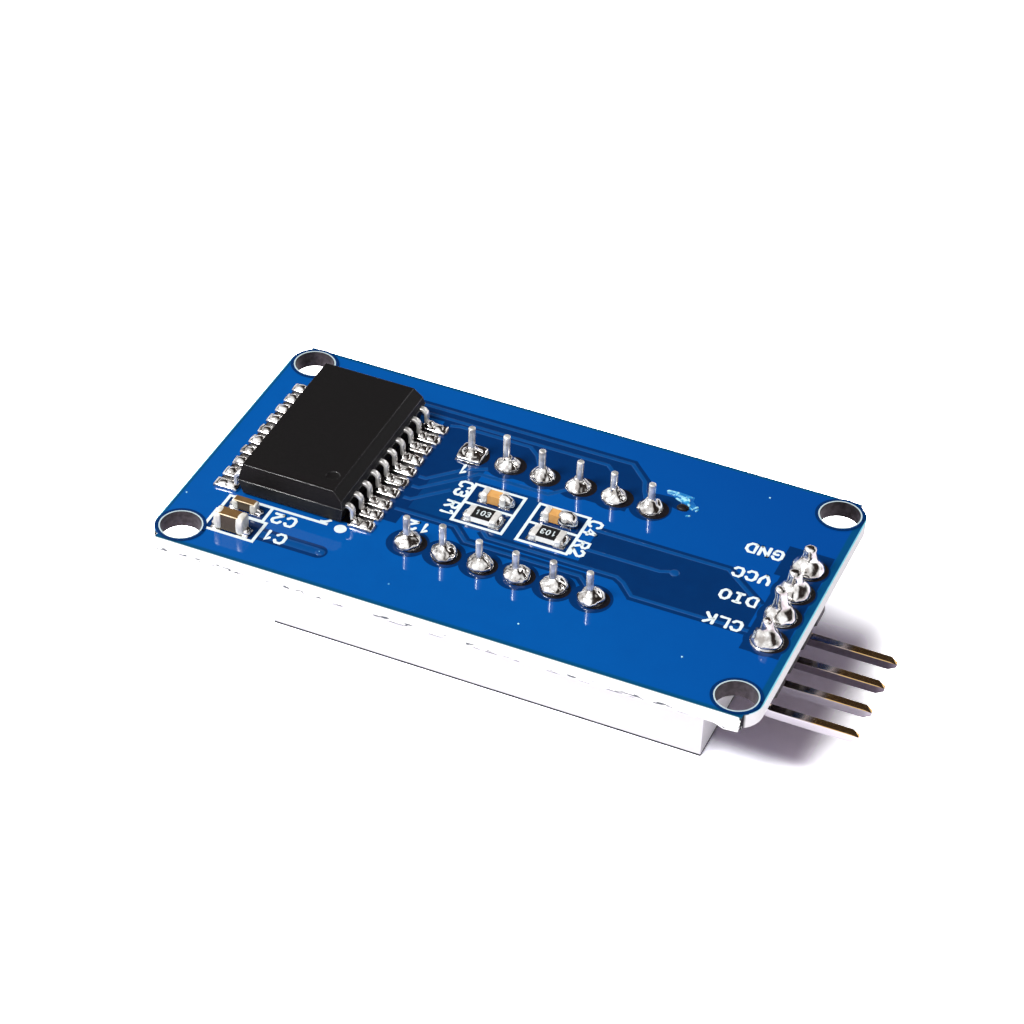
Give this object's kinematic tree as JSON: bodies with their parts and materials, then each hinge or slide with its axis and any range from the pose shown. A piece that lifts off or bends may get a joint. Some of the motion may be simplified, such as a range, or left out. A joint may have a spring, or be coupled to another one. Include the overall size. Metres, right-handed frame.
{
  "type": "seven segment display module",
  "caption": "Seven segment clock display soldered to a blue circuit board with a driver chip, small parts, corner holes and a right-angle pin header.",
  "frame": {"origin": "on the display's front face, under the middle of the four corner holes", "axes": "+Z out of the chip side of the board, +X towards the pin header, so the digits' tops point to -Y"},
  "size_m": [0.0464, 0.0238, 0.0109],
  "materials": {
    "mask_blue": "glossy solder mask over copper, pale torn laminate at the edges",
    "plating": "bright tinned copper",
    "board_print": "white ink",
    "shell_white": "moulded, satin",
    "face_black": "printed, matt",
    "resin_milky": "clear milky resin",
    "carrier_laminate": "bare laminate",
    "light_chip": "metal contact",
    "tinned_pin": "tinned wire",
    "solder": "bright solder",
    "chip_black": "moulded, fine matt",
    "ceramic_brown": "fired ceramic",
    "ceramic_tan": "fired ceramic",
    "ceramic_white": "fired ceramic",
    "glaze_black": "glazed",
    "end_metal": "plated ends",
    "housing_black": "moulded, satin",
    "header_metal": "plated pins with a brown tint"
  },
  "bodies": {
    "root": {"circuit_board": "mask_blue", "hole_plating": "plating", "copper_lands": "plating", "board_print": "board_print", "display_shell": "shell_white", "display_face": "face_black", "segment_resin": "resin_milky", "light_carrier": "carrier_laminate", "light_chips": "light_chip", "display_pin_1": "tinned_pin", "display_pin_2": "tinned_pin", "display_pin_3": "tinned_pin", "display_pin_4": "tinned_pin", "display_pin_5": "tinned_pin", "display_pin_6": "tinned_pin", "display_pin_7": "tinned_pin", "display_pin_8": "tinned_pin", "display_pin_9": "tinned_pin", "display_pin_10": "tinned_pin", "display_pin_11": "tinned_pin", "display_pin_12": "tinned_pin", "display_solder_back_row": "solder", "display_solder_front_row": "solder", "driver_chip": "chip_black", "chip_leads_first_side": "plating", "chip_leads_far_side": "plating", "chip_solder": "solder", "c1_ceramic": "ceramic_brown", "c1_ends": "end_metal", "c2_ceramic": "ceramic_brown", "c2_ends": "end_metal", "c3_ceramic": "ceramic_tan", "c3_ends": "end_metal", "c4_ceramic": "ceramic_tan", "c4_ends": "end_metal", "r1_ceramic": "ceramic_white", "r1_glaze": "glaze_black", "r1_ends": "end_metal", "r2_ceramic": "ceramic_white", "r2_glaze": "glaze_black", "r2_ends": "end_metal", "small_part_solder": "solder", "header_housing": "housing_black", "header_pin_1": "header_metal", "header_pin_2": "header_metal", "header_pin_3": "header_metal", "header_pin_4": "header_metal", "header_solder": "solder"}
  },
  "joints": []
}
